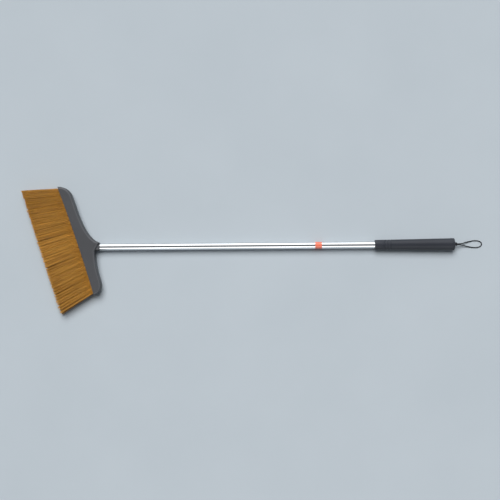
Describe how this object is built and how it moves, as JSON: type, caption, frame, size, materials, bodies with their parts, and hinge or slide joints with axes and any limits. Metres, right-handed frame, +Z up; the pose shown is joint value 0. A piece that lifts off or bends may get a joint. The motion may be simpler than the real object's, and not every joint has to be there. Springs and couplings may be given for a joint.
{
  "type": "broom",
  "caption": "Long-handled broom with a slanted bell-shaped hood, flared bristle rows, a bright aluminium tube, a tapered grip and a cord loop for hanging.",
  "frame": {"origin": "on the flat back face of the hood, straight below the handle's axis and a little way in from the hood's mouth", "axes": "+X along the handle from the head to the grip, +Z up from the back of the hood to its front, +Y to the higher end of the slanted hood"},
  "size_m": [1.3137, 0.3584, 0.035],
  "materials": {
    "hood_plastic": "satin",
    "inner_plastic": "matte",
    "bristle": "satin",
    "screw_steel": "satin",
    "tube_aluminium": "polished",
    "band_film": "gloss",
    "grip_plastic": "satin",
    "cord": "matte"
  },
  "bodies": {
    "broom": {"hood": "hood_plastic", "bristle_block": "inner_plastic", "bristle_row_front": "bristle", "bristle_row_middle": "bristle", "bristle_row_back": "bristle", "block_screw_1": "screw_steel", "block_screw_2": "screw_steel", "block_screw_3": "screw_steel", "block_screw_4": "screw_steel", "socket_screw": "screw_steel", "tube": "tube_aluminium", "tube_plug": "inner_plastic", "colour_band": "band_film", "grip_front_ring": "grip_plastic", "grip_sleeve": "grip_plastic", "end_cap": "grip_plastic", "cord_knot": "cord"},
    "hang_loop": {"hang_cord": "cord"}
  },
  "joints": [
    {"name": "hang_loop_swing", "type": "hinge", "parent": "broom", "child": "hang_loop", "pos_m": [1.0627, 0, 0.0175], "axis": [0, -1, 0], "range_deg": [-78, 102]}
  ]
}
